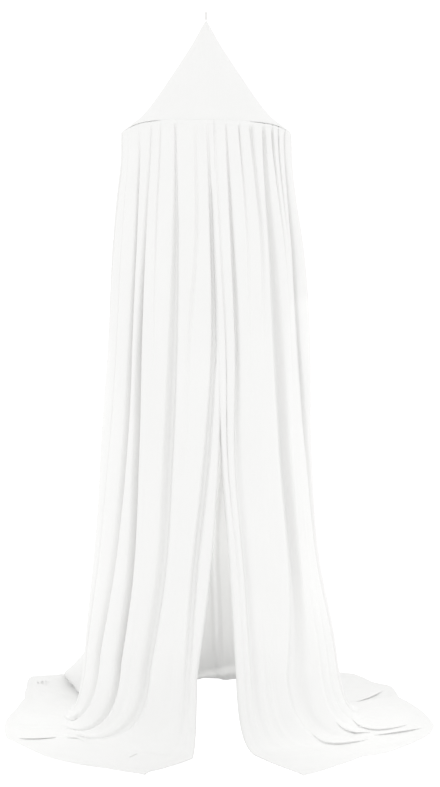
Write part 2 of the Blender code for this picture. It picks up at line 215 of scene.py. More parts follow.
# Valleys of the curtain as in the frame: azimuths and depths in millimetres at six heights and at the
# hem, width at the rim, half way and at the foot, and the share of it that is level at the bottom.
FOLD_HEIGHTS = (1.730, 1.430, 1.130, 0.800, 0.480, 0.190)
HEM_KNOT = 0.0
Valley = namedtuple("Valley", "azimuths depths widths flat")
FRONT_LEFT = (
    Valley((3.3, 5.2, 7.2, 7.2, 2.4, -5.0, -18), (1, 3, 4, 4, 3, 4, 2), (6, 10, 14), 0.3),
    Valley((0.8, 4.0, 5.2, 0.4, -6.8, -10.5, -24), (2, 9, 10, 13, 12, 6, 2), (10, 22, 24), 0.4),
    Valley((-7.1, -6.0, -10.6, -12.5, -14.8, -19.0, -38), (3, 4, 3, 1, 0, 2, 1), (12, 16, 30), 0.2),
    Valley((-19.9, -19.2, -20.4, -22.8, -26.0, -33.9, -73), (3, 13, 18, 19, 16, 18, 12), (10, 32, 38), 0.35),
    Valley((-30.6, -32.4, -33.0, -33.5, -36.5, -42.0, -80), (3, 3, 1, 0, 0, 2, 2), (8, 10, 24), 0.2),
    Valley((-38.1, -41.0, -43.6, -43.5, -44.7, -50.0, -84), (4, 9, 26, 25, 26, 28, 18), (10, 24, 30), 0.25),
    Valley((-49.6, -48.5, -50.8, -52.3, -57.4, -66.0, -100), (2, 16, 21, 19, 16, 22, 18), (10, 22, 34), 0.2),
    Valley((-63.0, -63.0, -65.0, -67.0, -72.0, -80.0, -113), (1, 2, 3, 3, 4, 8, 8), (8, 12, 20), 0.2),
)
FRONT_RIGHT = (
    Valley((-294.2, -296.5, -297.6, -288, -281, -276, -257), (16, 24, 28, 22, 10, 12, 10), (14, 38, 34), 0.4),
    Valley((-304.2, -301.5, -298.9, -294, -291, -289, -266), (17, 2, 0, 0, 0, 4, 4), (8, 12, 24), 0.2),
    Valley((-310.9, -306.0, -304.3, -301.4, -298, -296, -275), (14, 4, 1, 0, 0, 4, 5), (10, 14, 28), 0.2),
    Valley((-319.5, -316.6, -313.8, -309.4, -304.8, -313.0, -289),
            (9, 18, 24, 27, 26, 19, 13), (14, 50, 88), 0.5),
    Valley((-329.4, -323.8, -324.1, -322.2, -321.2, -325, -307), (9, 6, 1, 0, 0, 2, 2), (16, 16, 24), 0.3),
    Valley((-338.4, -333.7, -333.4, -331.5, -329.7, -328.8, -314), (6, 3, 1, 0, 0, 2, 1), (10, 12, 20), 0.2),
    Valley((-347.0, -343.6, -341.0, -341.8, -337.0, -334.5, -321), (2, 11, 13, 9, 9, 7, 2), (8, 18, 80), 0.3),
    Valley((-354.4, -351.3, -348.0, -347.1, -341.6, -339.5, -328), (1, 3, 4, 4, 2, 2, 1), (8, 10, 14), 0.2),
    Valley((-356.4, -354.9, -353.2, -350.6, -346.0, -343.6, -333), (1, 8, 11, 9, 4, 4, 2), (6, 10, 14), 0.3),
)

# Folds of the back: how many, the azimuths of the first and last at the rim, the foot and the hem, the
# share of the way from rim to foot that they have gone at the table's heights, how they sway there in
# degrees, and the radians from one fold to the next by which sway and depth change.
BACK_COUNT = 12
BACK_SPANS = ((-76, -279), (-93, -262), (-124, -245))
BACK_DRIFT = (0.0, 0.25, 0.5, 0.5, 0.8, 1.0)
BACK_SWAY = (0.0, 3.0, 3.0, -1.5, 1.5, 0.0)
BACK_SWAY_TURN = 2.4
BACK_DEPTH_TURN = 1.7
BACK_DEPTH_CHANGE = 0.2
BACK_FLAT = 0.25
BACK_DEPTHS = (9, 19, 21, 21, 21, 22, 14)
BACK_WIDTHS = (12, 34, 40)

# On the floor: heights of the crests, the depth of a valley whose bottom comes down fully, the share of
# the crests' height that it comes down by, and the share of the way to its neighbour that a valley's side
# may fill.
CREST_AT_BEND_END = 0.014
CREST_AT_HEM = 0.004
FULL_DEPTH_ON_FLOOR = 0.024
LEFT_AT_BEND_END = 0.3
LEFT_AT_HEM = 0.3
CROWDED_SHARE = 0.46

# Cloth between two valleys bulges by a share of its width, measured at one radius all the way down.
PANEL_BULGE = 0.035
PANEL_RADIUS = 0.3

CROWN_STEPS = 54
CROWN_SIDES = 180
CROWN_RIM_STEPS = 7
RING_SEGMENTS = 160

# Above the parting the left cut edge laps over the right one: by how many degrees, and how much it stands
# out in millimetres, at the six heights and at the hem.
LAP = (1.6, 2.0, 2.6, 0.4, 0.0, 0.0, 0.0)
LAP_STAND = (2.6, 3.0, 3.0, 2.0, 0.0, 0.0, 0.0)

# Steps of the curtain's grid: round, over a valley's side, its level bottom and the cloth up to the next
# valley, and down, over the wall, the bend, the floor and the hem. The wall's steps grow from the rim
# down. The hem is turned over and so thicker, its steps are distances from its edge, and the floor's last
# row keeps a margin from it.
FLANK_STEPS = 4
LEVEL_STEPS = 2
PANEL_STEPS = 5
BACK_FLANK_STEPS = 3
BACK_PANEL_STEPS = 3
WALL_STEPS = 50
BEND_STEPS = 16
FLOOR_STEPS = 22
WALL_EVEN = 0.4
WALL_GROWING = 0.6
HEM_WIDTH = 0.025
HEM_THICKER = 0.0006
HEM_MARGIN = 0.003
HEM_STEPS = (HEM_WIDTH, 0.022, 0.012, 0.0015, 0.0)

# How far below the hoop's middle the wall starts. A valley has a share of its depth there, and grows at
# the rate of its whole depth over 2 cm.
WALL_BELOW_RIM = 0.0065
DEPTH_AT_TOP = 0.35
DEPTH_GROWS_OVER = 0.02

# Where a fold's foot lands on the floor it laps over the cloth beside it. Its edge starts and ends at
# points across and behind the axis, in metres, and bends towards the middle one. The fold stands on its
# hollow side, and lap is how far it reaches over.
FloorFold = namedtuple("FloorFold", "start middle end height width lap")
FLOOR_FOLDS = (
    FloorFold((0.290, -0.243), (0.362, -0.306), (0.462, -0.192), 0.008, 0.011, 0.0022),
    FloorFold((0.366, -0.170), (0.412, -0.168), (0.472, -0.146), 0.006, 0.009, 0.0018),
    FloorFold((0.418, -0.062), (0.474, -0.200), (0.590, -0.054), 0.007, 0.009, 0.0018),
    FloorFold((0.478, -0.165), (0.548, -0.146), (0.630, -0.080), 0.007, 0.009, 0.0022),
    FloorFold((0.462, 0.165), (0.530, 0.232), (0.566, 0.315), 0.008, 0.010, 0.0024),
    FloorFold((-0.336, -0.212), (-0.360, -0.214), (-0.394, -0.196), 0.004, 0.007, 0.0012),
    FloorFold((-0.364, -0.096), (-0.386, -0.080), (-0.402, -0.048), 0.003, 0.006, 0.0010),
    FloorFold((-0.420, -0.188), (-0.475, -0.208), (-0.530, -0.180), 0.006, 0.010, 0.0022),
    FloorFold((-0.510, 0.396), (-0.531, 0.388), (-0.552, 0.404), 0.008, 0.009, 0.0030),
    FloorFold((-0.450, -0.238), (-0.468, -0.258), (-0.478, -0.285), 0.004, 0.008, 0.0014),
    FloorFold((-0.184, -0.342), (-0.196, -0.356), (-0.208, -0.368), 0.002, 0.006, 0.0006),
)

# Shape of a floor fold's cross-section, in its widths from the edge: how far out cloth is drawn towards
# the edge and with which power, how much of the height is missing at the edge and how fast it comes,
# where the fold has sunk again, how fast the lap fades above and below, by how much the lower cloth
# follows, and the power with which the fold dwindles towards its ends.
DRAWN_REACH = 2.2
DRAWN_POWER = 1.4
EDGE_LOWER = 0.45
EDGE_RISE_RATE = 4
FOLD_SINK = 2.6
LAP_FADE = 2
UNDER_LAP = 1.5
UNDER_LAP_FADE = 6
FOLD_END_POWER = 0.7

# The roll in which the cloth lies on the floor inside the back: height of its top, its slope a degree,
# half width in degrees, the radius where it ends, the share of the radius by which it comes in, how deep
# it rounds, and over which length it ends.
BACK_ROLL_TOP = 0.032
BACK_ROLL_SLOPE = 0.0016
BACK_ROLL_WIDTH = 24
BACK_ROLL_END = 0.50
BACK_ROLL_OUT = 0.045
BACK_ROLL_DEPTH = 0.02
BACK_ROLL_FADE = 0.03

# Cloth within FOLD_FINE of a floor fold's edge is cut into finer faces, and again within FOLD_FINER where
# the fold runs out from the wall by more than a share of its length. Folds act up to FOLD_CLEAR above the
# floor, and fade over as much again. The cloth's lower face stays clear of the floor.
FOLD_LINE_STEPS = 60
FOLD_FINE = 0.018
FOLD_CUTS = 2
FOLD_FINER = 0.005
FOLD_CUTS_OUT = 1
RUNS_OUT_SHARE = 0.7
FOLD_CLEAR = 0.045
FLOOR_CLEARANCE = 0.0002

# Small relief of the wall. Each row is the width and length of one bump, its height, the distance down
# from the rim over which it fades out, or None where it fades in over SETTLED instead, and its seed. What
# fades out starts a little below the top edge, and all relief dies out before the hem.
Relief = namedtuple("Relief", "across along height fades seed")
SEED = 7
LATTICE = 128
RELIEFS = (
    Relief(0.009, 0.30, 0.0016, 0.09, SEED),
    Relief(0.022, 0.60, 0.0015, 0.35, SEED + 4),
    Relief(0.030, 0.45, 0.0009, None, SEED + 1),
    Relief(0.110, 0.40, 0.0022, None, SEED + 2),
    Relief(0.012, 0.07, 0.0003, None, SEED + 3),
)
SETTLED = 0.25
RELIEF_START = 0.006
RELIEF_GROWS_OVER = 0.02
RELIEF_HEM = 0.05

# The studio: brightness of its white surroundings, of the lit floor round the canopy and between which
# radii that comes up, watts of the light that the cloth lets through by its height, and of the lights
# over the spread cloth by their places across and behind the axis.
STUDIO_BRIGHTNESS = 1.15
FLOOR_GLOW = 0.87
FLOOR_DARK = (0.30, 0.55)
FILLS = ((1.45, 1.2), (0.95, 1.1), (0.50, 1.3), (0.18, 1.5))
FILL_SIZE = 0.16
FILL_BEHIND = 0.03
SPREAD_LIGHTS = ((0.42, -0.14, 0.17), (-0.48, -0.08, 0.14))
SPREAD_LIGHT_SIZE = 0.35
SPREAD_LIGHT_ANGLE = 50
SPREAD_LIGHT_HEIGHT = 1.25
STUDIO_FLOOR_SIZE = 30
STUDIO_FLOOR_GREY = 0.27
STUDIO_FLOOR_BELOW = 0.0004

# The camera: eye's distance from the axis and height, focal length and picture size in pixels of the
# photograph, and the column and row where the axis and the horizon lie in it.
EYE_DISTANCE = 4.0
EYE_HEIGHT = 1.18
FOCAL = 1352
FRAME_WIDTH = 440
FRAME_HEIGHT = 787
AXIS_COLUMN = 206
HORIZON_ROW = 323
SENSOR_MM = 24


def level(height):
    """Height above the floor as z below the hook."""
    return height - HOOK_HEIGHT


def linear(code, alpha=1.0):
    """An sRGB hex colour as linear values."""
    parts = [int(code[i:i + 2], 16) / 255 for i in (1, 3, 5)]
    return tuple(p / 12.92 if p <= 0.04045 else ((p + 0.055) / 1.055) ** 2.4 for p in parts) + (alpha,)


def add_node(tree, kind, settings=(), links=()):
    """Adds a node. Settings are attributes or socket values by name, links are (socket name, source)."""
    node = tree.nodes.new(kind)
    for name, value in dict(settings).items():
        if name in node.inputs:
            node.inputs[name].default_value = value
        else:
            setattr(node, name, value)
    for name, source in links:
        tree.links.new(source, node.inputs[name])
    return node


def new_material(name):
    made = bpy.data.materials.new(name)
    made.use_nodes = True
    return made, made.node_tree, made.node_tree.nodes["Principled BSDF"]


def muslin_material(name):
    """Cotton double gauze: matt, faintly fuzzy, with a soft crinkle and an open plain weave."""
    made, tree, shader = new_material(name)
    shader.inputs["Roughness"].default_value = 0.95
    shader.inputs["Specular IOR Level"].default_value = 0.25
    shader.inputs["Sheen Weight"].default_value = 0.12
    shader.inputs["Sheen Roughness"].default_value = 0.6
    place = add_node(tree, "ShaderNodeUVMap", {"uv_map": "cloth"})
    # The map is in metres of cloth. Crinkles are about 5 mm across and run down the cloth for 9 cm.
    crinkle_place = add_node(
        tree, "ShaderNodeMapping", {"Scale": (190.0, 11.0, 1.0)}, [("Vector", place.outputs["UV"])]
    )
    crinkle = add_node(
        tree, "ShaderNodeTexNoise", {"Scale": 1.0, "Detail": 3.0, "Roughness": 0.55, "Distortion": 0.6},
        [("Vector", crinkle_place.outputs["Vector"])],
    )
    # Threads are 0.6 mm apart in the real cloth, drawn at 1.5 mm so that they show.
    weave_place = add_node(
        tree, "ShaderNodeMapping", {"Scale": (667.0, 667.0, 1.0)}, [("Vector", place.outputs["UV"])]
    )
    weave = add_node(tree, "ShaderNodeTexBrick", {
        "offset": 0.5, "Scale": 1.0, "Mortar Size": 0.12, "Mortar Smooth": 1.0, "Brick Width": 1.0,
        "Row Height": 0.5, "Color1": (1, 1, 1, 1), "Color2": (0.8, 0.8, 0.8, 1), "Mortar": (0, 0, 0, 1),
    }, [("Vector", weave_place.outputs["Vector"])])
    crinkle_bump = add_node(
        tree, "ShaderNodeBump", {"Strength": 0.25, "Distance": 0.0008},
        [("Height", crinkle.outputs["Fac"])],
    )
    weave_bump = add_node(
        tree, "ShaderNodeBump", {"Strength": 0.12, "Distance": 0.0002},
        [("Height", weave.outputs["Color"]), ("Normal", crinkle_bump.outputs["Normal"])],
    )
    tree.links.new(weave_bump.outputs["Normal"], shader.inputs["Normal"])
    # Slubs and uneven bleach: the white wanders a little over a hand's breadth.
    cloud_place = add_node(
        tree, "ShaderNodeMapping", {"Scale": (9.0, 5.0, 1.0)}, [("Vector", place.outputs["UV"])]
    )
    cloud = add_node(
        tree, "ShaderNodeTexNoise", {"Scale": 1.0, "Detail": 4.0},
        [("Vector", cloud_place.outputs["Vector"])],
    )
    white = add_node(
        tree, "ShaderNodeMix",
        {"data_type": "RGBA"},
        [("Factor", cloud.outputs["Fac"])],
    )
    colour_sockets = [s for s in white.inputs if s.type == "RGBA"]
    colour_sockets[0].default_value = linear("#E5E5E4")
    colour_sockets[1].default_value = linear("#E9E9E8")
    colour_out = [s for s in white.outputs if s.type == "RGBA"][0]
    tree.links.new(colour_out, shader.inputs["Base Color"])
    return made


def smooth(knots, values, where):
    """Smooth curve through values at falling knots, read at heights."""
    knots = np.array(knots)[::-1]
    values = np.array(values, dtype=float)[::-1]
    slopes = np.gradient(values, knots, axis=0)
    where = np.clip(where, knots[0], knots[-1])
    cell = np.clip(np.searchsorted(knots, where) - 1, 0, len(knots) - 2)
    width = knots[cell + 1] - knots[cell]
    share = (where - knots[cell]) / width
    rest = 1 - share
    start = values[cell] * (1 + 2 * share) * rest**2 + slopes[cell] * width * share * rest**2
    end = values[cell + 1] * (3 - 2 * share) * share**2 - slopes[cell + 1] * width * rest * share**2
    return start + end


def rim_rise(azimuth):
    rise = 0.0
    for bow in RIM_BOWS:
        away = (azimuth - bow.azimuth + 180) % 360 - 180
        rise = rise + bow.rise * np.exp(-((away / bow.spread) ** 2))
    return rise


def by_direction(azimuth, sides):
    """Blend of four values, to the front, right, back and left, at an azimuth."""
    turn = np.radians(azimuth)
    ahead = np.cos(turn)
    across = np.sin(turn)
    front, right, back, left = sides
    return np.where(ahead > 0, front, back) * ahead**2 + np.where(across > 0, right, left) * across**2


def girth(azimuth, height):
    heights = [row.height for row in GIRTHS]
    sides = [smooth(heights, [getattr(row, side) for row in GIRTHS], height)
             for side in ("front", "right", "back", "left")]
    return by_direction(azimuth, sides)


def hem_radius(azimuth):
    return np.interp(-azimuth, [-row.azimuth for row in HEM], [row.radius for row in HEM])


def uneven(across, along, seed):
    """Smooth unevenness from -1 to 1 over a plane whose unit is the size of one bump."""
    lattice = np.random.RandomState(seed).uniform(-1, 1, (LATTICE, LATTICE))
    across = across + LATTICE / 2
    along = along + LATTICE / 2
    i = np.floor(across).astype(int)
    j = np.floor(along).astype(int)
    s = across - i
    t = along - j
    s = s * s * s * (s * (s * 6 - 15) + 10)
    t = t * t * t * (t * (t * 6 - 15) + 10)
    a = lattice[i % LATTICE, j % LATTICE]
    b = lattice[(i + 1) % LATTICE, j % LATTICE]
    c = lattice[i % LATTICE, (j + 1) % LATTICE]
    d = lattice[(i + 1) % LATTICE, (j + 1) % LATTICE]
    return (a * (1 - s) + b * s) * (1 - t) + (c * (1 - s) + d * s) * t


def back_valleys():
    """The valleys that the photo doesn't show, spread between the front ones."""
    valleys = []
    for index in range(BACK_COUNT):
        share = index / (BACK_COUNT - 1)
        rim, foot, hem = (first + (last - first) * share for first, last in BACK_SPANS)
        turn = math.sin(BACK_SWAY_TURN * index)
        down = [rim + (foot - rim) * drift + sway * turn for drift, sway in zip(BACK_DRIFT, BACK_SWAY)]
        deeper = 1 + BACK_DEPTH_CHANGE * math.sin(BACK_DEPTH_TURN * index)
        depths = tuple(depth * deeper for depth in BACK_DEPTHS)
        valleys.append(Valley((*down, hem), depths, BACK_WIDTHS, BACK_FLAT))
    return valleys


def all_valleys():
    return list(FRONT_LEFT) + back_valleys() + list(FRONT_RIGHT)


def valley_reach(valleys):
    """Azimuths of the valleys, and half-widths in degrees before and after, clear of their neighbours."""
    azimuths = np.array([valley.azimuths for valley in valleys], dtype=float)
    heights = FOLD_HEIGHTS + (HEM_KNOT,)
    knots = (FOLD_HEIGHTS[0], FOLD_HEIGHTS[2], FOLD_HEIGHTS[-1])
    widths = np.array([smooth(knots, valley.widths, np.array(heights)) for valley in valleys]) / 1000
    radii = np.array([
        girth(azimuths[:, i], np.full(len(valleys), height)) for i, height in enumerate(heights)
    ]).T
    half = np.degrees(widths / 2 / radii)
    room = -np.diff(azimuths, axis=0) * CROWDED_SHARE
    before = np.minimum(half[1:], room)
    after = np.minimum(half[:-1], room)
    return azimuths, np.vstack([half[:1] * 0, before]), np.vstack([after, half[-1:] * 0])


def flank(share):
    """Depth across a valley's side, from its shoulder to its bottom: rounded above, creased below."""
    return 0.5 * share**2 + 0.5 * share**2 * (3 - 2 * share)


def seam(azimuth):
    """Angles where the crown ends and the curtain starts on the channel, and how far the seam gapes."""
    away = np.abs((azimuth + 180) % 360 - 180)
    turn = np.clip((away - SEAM_TURNS[0]) / (SEAM_TURNS[1] - SEAM_TURNS[0]), 0, 1)
    turn = turn**2 * (3 - 2 * turn)
    gape = np.interp(away, SEAM_GAPES, (0, 1, 1, SEAM_GAPE_LEFT))
    crown_end = (SEAM_ANGLE[0] - SEAM_DROP * gape) * (1 - turn) + SEAM_ANGLE[1] * turn
    return crown_end, crown_end + SEAM_OVERLAP - gape * (SEAM_OVERLAP + SEAM_GAPE), gape


def curtain_columns():
    """Azimuth and depth of every column at the table's heights and the hem, bulging between valleys."""
    valleys = all_valleys()
    azimuths, before, after = valley_reach(valleys)
    last = len(valleys) - 1
    lines = []
    drops = []
    for index, valley in enumerate(valleys):
        depth = np.array(valley.depths) / 1000
        behind = valley.widths == BACK_WIDTHS
        flank_steps = BACK_FLANK_STEPS if behind else FLANK_STEPS
        panel_steps = BACK_PANEL_STEPS if behind else PANEL_STEPS
        steps = np.arange(flank_steps) / flank_steps
        if index > 0:
            for share in steps:
                lines.append(azimuths[index] + before[index] * (1 - share * (1 - valley.flat)))
                drops.append(depth * flank(share))
        level_steps = np.linspace(1, -1, LEVEL_STEPS + 1) if 0 < index < last else np.zeros(1)
        for side in level_steps:
            reach = before[index] if side > 0 else after[index]
            lines.append(azimuths[index] + reach * side * valley.flat)
            drops.append(depth)
        if index < last:
            for share in steps[::-1]:
                lines.append(azimuths[index] - after[index] * (1 - share * (1 - valley.flat)))
                drops.append(depth * flank(share))
            first = azimuths[index] - after[index]
            second = azimuths[index + 1] + before[index + 1]
            panel = np.radians(first - second) * PANEL_RADIUS
            for share in np.arange(1, panel_steps) / panel_steps:
                lines.append(first + (second - first) * share)
                drops.append(-4 * share * (1 - share) * panel * PANEL_BULGE)
    lines = np.array(lines)
    drops = np.array(drops)
    lapping = FLANK_STEPS + PANEL_STEPS
    to_edge = np.linspace(1, 0, lapping)[:, None]
    lines[:lapping] += to_edge * np.array(LAP)
    drops[:lapping] -= to_edge * np.array(LAP_STAND) / 1000
    return lines.T, drops.T


def curtain_grid():
    """Outer face of the curtain as rows of points, from the rim to the hem."""
    azimuths, depths = curtain_columns()
    count = azimuths.shape[1]
    whole = np.ones(count)
    sides = ("front", "right", "back", "left")
    rise = rim_rise(azimuths[0])
    lapped = np.minimum(depths[0], 0)
    lapped[FLANK_STEPS + PANEL_STEPS:] = 0
    rows = []
    _, first, gape = seam(azimuths[0])
    over = CURTAIN_OVER_RIM - gape * TUCK - np.clip(depths[0] * PLEAT_SHARE, 0, RIM_PLEAT)
    for step in range(CURTAIN_RIM_STEPS):
        angle = first + (CURTAIN_RIM_END - first) * step / (CURTAIN_RIM_STEPS - 1)
        out = over * np.cos(np.radians(angle))
        up = over * np.sin(np.radians(angle))
        rows.append((azimuths[0], HOOP_RADIUS + out - lapped, RIM_HEIGHT + rise + up, whole * 0))

    def wall_row(height):
        azimuth = np.array([smooth(FOLD_HEIGHTS, azimuths[:-1, i], height[i]) for i in range(count)])
        depth = np.array([smooth(FOLD_HEIGHTS, depths[:-1, i], height[i]) for i in range(count)])
        return azimuth, girth(azimuth, height), height, depth

    flare = np.exp(-(((azimuths[-2] - FLARE_AZIMUTH) / FLARE_WIDTH) ** 2))
    start = by_direction(azimuths[-2], [BENDS[side].start for side in sides]) + FLARE_SOONER * flare
    reach = by_direction(azimuths[-1], [BENDS[side].reach for side in sides]) + FLARE_FURTHER * flare
    top = RIM_HEIGHT + rise - WALL_BELOW_RIM
    for step in range(1, WALL_STEPS):
        down = step / WALL_STEPS
        fallen = WALL_EVEN * down + WALL_GROWING * down**2
        azimuth, radius, height, depth = wall_row(top + (start - top) * fallen)
        onset = np.clip(DEPTH_AT_TOP + (top - height) / DEPTH_GROWS_OVER, 0, 1)
        rows.append((azimuth, radius, height, depth * onset + lapped * (1 - onset)))
    azimuth_in, radius_in, height_in, depth_in = wall_row(start)
    sweep = np.interp(-azimuths[-1], [-row.azimuth for row in SWEEPS], [row.share for row in SWEEPS])
    crest = SHEET + CREST_AT_BEND_END
    for step in range(BEND_STEPS + 1):
        share = step / BEND_STEPS
        rest = 1 - share
        azimuth = azimuth_in + (azimuths[-1] - azimuth_in) * sweep * share**SWEEP_POWER
        knee = girth(azimuth, whole * 0) + FLARE_OUT * flare
        radius = rest**2 * radius_in + 2 * share * rest * knee + share**2 * (knee + reach)
        knee_height = BEND_KNEE + FLARE_HIGHER * flare
        height = rest**2 * height_in + 2 * share * rest * knee_height + share**2 * crest
        on_floor = CREST_AT_BEND_END * LEFT_AT_BEND_END * np.clip(depths[-2] / FULL_DEPTH_ON_FLOOR, -1, 1)
        rows.append((azimuth, radius, height, rest**BEND_FADE * depth_in + share * on_floor))
    azimuth_in, radius_in = rows[-1][0], rows[-1][1]
    floor_rows = [(step / FLOOR_STEPS, None) for step in range(1, FLOOR_STEPS)]
    floor_rows += [(1.0, from_hem) for from_hem in HEM_STEPS]
    for share, from_hem in floor_rows:
        azimuth = azimuth_in + (azimuths[-1] - azimuth_in) * share
        if from_hem is None:
            last = hem_radius(azimuth) - HEM_WIDTH - HEM_MARGIN
            radius = radius_in + (last - radius_in) * share
        else:
            radius = hem_radius(azimuth) - from_hem
        crest = CREST_AT_BEND_END + (CREST_AT_HEM - CREST_AT_BEND_END) * share
        left = LEFT_AT_BEND_END + (LEFT_AT_HEM - LEFT_AT_BEND_END) * share
        on_floor = crest * left * np.clip(depths[-1] / FULL_DEPTH_ON_FLOOR, -1, 1)
        rows.append((azimuth, radius, whole * (SHEET + crest), on_floor))
    azimuth, radius, height, depth = [np.array(values) for values in zip(*rows)]
    run_out = np.gradient(radius, axis=0)
    run_down = -np.gradient(height, axis=0)
    run = np.hypot(run_out, run_down)
    radius = radius - depth * run_down / run
    height = height - depth * run_out / run
    turn = np.radians(azimuth)
    return np.stack([radius * np.sin(turn), -radius * np.cos(turn), level(height)], axis=-1)


def grid_normals(points):
    """Outward normals of a grid whose rows run down and whose columns run round to the left."""
    down = np.gradient(points, axis=0)
    across = np.gradient(points, axis=1)
    normal = np.cross(down, across)
    length = np.linalg.norm(normal, axis=-1, keepdims=True)
    return normal / np.maximum(length, 1e-9)


def lengths_along(points, axis):
    """Length of cloth from the first row or column to each point."""
    steps = np.linalg.norm(np.diff(points, axis=axis), axis=-1)
    start = np.zeros_like(np.take(steps, [0], axis=axis))
    return np.cumsum(np.concatenate([start, steps], axis=axis), axis=axis)


def fold_line(fold):
    """The edge of a fold on the floor as points, and the way to its hollow side at each."""
    start, middle, end = (np.array(point) for point in (fold.start, fold.middle, fold.end))
    share = np.linspace(0, 1, FOLD_LINE_STEPS + 1)[:, None]
    line = (1 - share) ** 2 * start + 2 * share * (1 - share) * middle + share**2 * end
    along = np.gradient(line, axis=0)
    side = np.stack([-along[:, 1], along[:, 0]], axis=-1)
    side = side / np.linalg.norm(side, axis=-1, keepdims=True)
    if np.dot(side[FOLD_LINE_STEPS // 2], (start + end) / 2 - middle) < 0:
        side = -side
    return line, side


def lay_fold(points, fold):
    """Lays one fold on the floor: the cloth on its hollow side rises and laps over the cloth outside it."""
    line, side = fold_line(fold)
    away = points[:, None, :2] - line
    nearest = np.argmin(np.sum(away**2, axis=-1), axis=-1)
    gap = np.take_along_axis(away, nearest[:, None, None], axis=1)[:, 0]
    side = side[nearest]
    inward = np.sum(gap * side, axis=-1)
    beyond = np.sqrt(np.maximum(np.sum(gap**2, axis=-1) - inward**2, 0))
    low = np.clip(2 - (points[:, 2] - FLOOR) / FOLD_CLEAR, 0, 1)
    taper = np.sin(math.pi * nearest / FOLD_LINE_STEPS) ** FOLD_END_POWER
    taper = taper * np.exp(-((beyond / fold.width) ** 2)) * low
    # The cloth is drawn towards the fold's edge, so that the edge is sharp.
    reach = DRAWN_REACH * fold.width
    drawn = np.sign(inward) * reach * (np.abs(inward) / reach) ** DRAWN_POWER
    placed = np.where(np.abs(inward) < reach, drawn, inward)
    over = np.maximum(placed, 0) / fold.width
    under = np.minimum(placed, 0) / fold.width
    upper = placed - fold.lap * np.exp(-LAP_FADE * over)
    lower = placed + UNDER_LAP * fold.lap * np.exp(UNDER_LAP_FADE * under)
    lapped = np.where(inward >= 0, upper, lower)
    lip = 1 - EDGE_LOWER * np.exp(-EDGE_RISE_RATE * over)
    rise = np.where(inward >= 0, fold.height * lip * np.exp(-((over / FOLD_SINK) ** 2)), 0)
    points[:, :2] += side * ((lapped - inward) * taper)[:, None]
    points[:, 2] += rise * taper


def corners_of(piece):
    points = np.zeros(len(piece.data.vertices) * 3)
    piece.data.vertices.foreach_get("co", points)
    return points.reshape(-1, 3)


def runs_out(fold):
    """Whether a fold runs out from the wall, across the gaps between the columns, which are wide."""
    start, end = np.array(fold.start), np.array(fold.end)
    chord = end - start
    middle = (start + end) / 2
    return abs(np.dot(chord, middle)) > RUNS_OUT_SHARE * np.linalg.norm(chord) * np.linalg.norm(middle)


def cut_finer(piece, folds, reach, cuts):
    """Cuts the cloth finer within reach of the folds' edges."""
    points = corners_of(piece)
    near = np.zeros(len(points), dtype=bool)
    for fold in folds:
        line, _ = fold_line(fold)
        gap = np.linalg.norm(points[:, None, :2] - line, axis=-1).min(axis=1)
        near |= (gap < reach) & (points[:, 2] < FLOOR + 2 * FOLD_CLEAR)
    bpy.ops.object.mode_set(mode="EDIT")
    bpy.ops.mesh.select_mode(type="VERT")
    bpy.ops.mesh.select_all(action="DESELECT")
    bpy.ops.object.mode_set(mode="OBJECT")
    piece.data.vertices.foreach_set("select", near)
    bpy.ops.object.mode_set(mode="EDIT")
    bpy.ops.mesh.subdivide(number_cuts=cuts)
    bpy.ops.object.mode_set(mode="OBJECT")


def add_floor_folds(piece):
    """Lays the floor folds on cloth that is cut finer for them."""
    cut_finer(piece, FLOOR_FOLDS, FOLD_FINE, FOLD_CUTS)
    cut_finer(piece, [fold for fold in FLOOR_FOLDS if runs_out(fold)], FOLD_FINER, FOLD_CUTS_OUT)
    points = corners_of(piece)
    low = points[:, 2] < FLOOR + 2 * FOLD_CLEAR
    floor_points = points[low]
    for fold in FLOOR_FOLDS:
        lay_fold(floor_points, fold)
    floor_points[:, 2] = np.maximum(floor_points[:, 2], FLOOR + CLOTH + FLOOR_CLEARANCE)
    points[low] = floor_points
    piece.data.vertices.foreach_set("co", points.ravel())
    piece.data.update()


def back_roll(points):
    """Share of the radius by which the cloth comes in where it lies in a roll inside the back."""
    azimuth = np.degrees(np.arctan2(points[..., 0], points[..., 1]))
    radius = np.hypot(points[..., 0], points[..., 1])
    top = BACK_ROLL_TOP + BACK_ROLL_SLOPE * azimuth
    under = np.clip((top - points[..., 2] + FLOOR) / BACK_ROLL_DEPTH, 0, 1)
    fade = np.exp(-((azimuth / BACK_ROLL_WIDTH) ** 4))
    fade = fade * np.clip((BACK_ROLL_END - radius) / BACK_ROLL_FADE, 0, 1)
    return BACK_ROLL_OUT * np.sqrt(under * (2 - under)) * fade


def add_cloth_detail(points):
    """Gathers under the hoop, creases down the wall, rolls and slack on the floor, and the turned hem."""
    normal = grid_normals(points)
    along = lengths_along(points, 0)
    total = along[-1:]
    middle = lengths_along(points, 1)[len(points) // 3]
    across = np.broadcast_to(middle, along.shape)
    onset = np.clip((along - RELIEF_START) / RELIEF_GROWS_OVER, 0, 1)
    settled = 1 - np.exp(-along / SETTLED)
    size = 0
    for relief in RELIEFS:
        bumps = relief.height * uneven(across / relief.across, along / relief.along, relief.seed)
        size = size + bumps * (onset * np.exp(-along / relief.fades) if relief.fades else settled)
    hem_side = np.clip((total - along) / RELIEF_HEM, 0, 1)
    points = points + normal * (size * hem_side)[..., None]
    points[..., :2] *= 1 - back_roll(points)[..., None]
    points[..., 2] = np.maximum(points[..., 2], FLOOR + CLOTH + FLOOR_CLEARANCE)
    points[..., 2] += np.where(total - along < HEM_WIDTH, HEM_THICKER, 0.0)
    return points


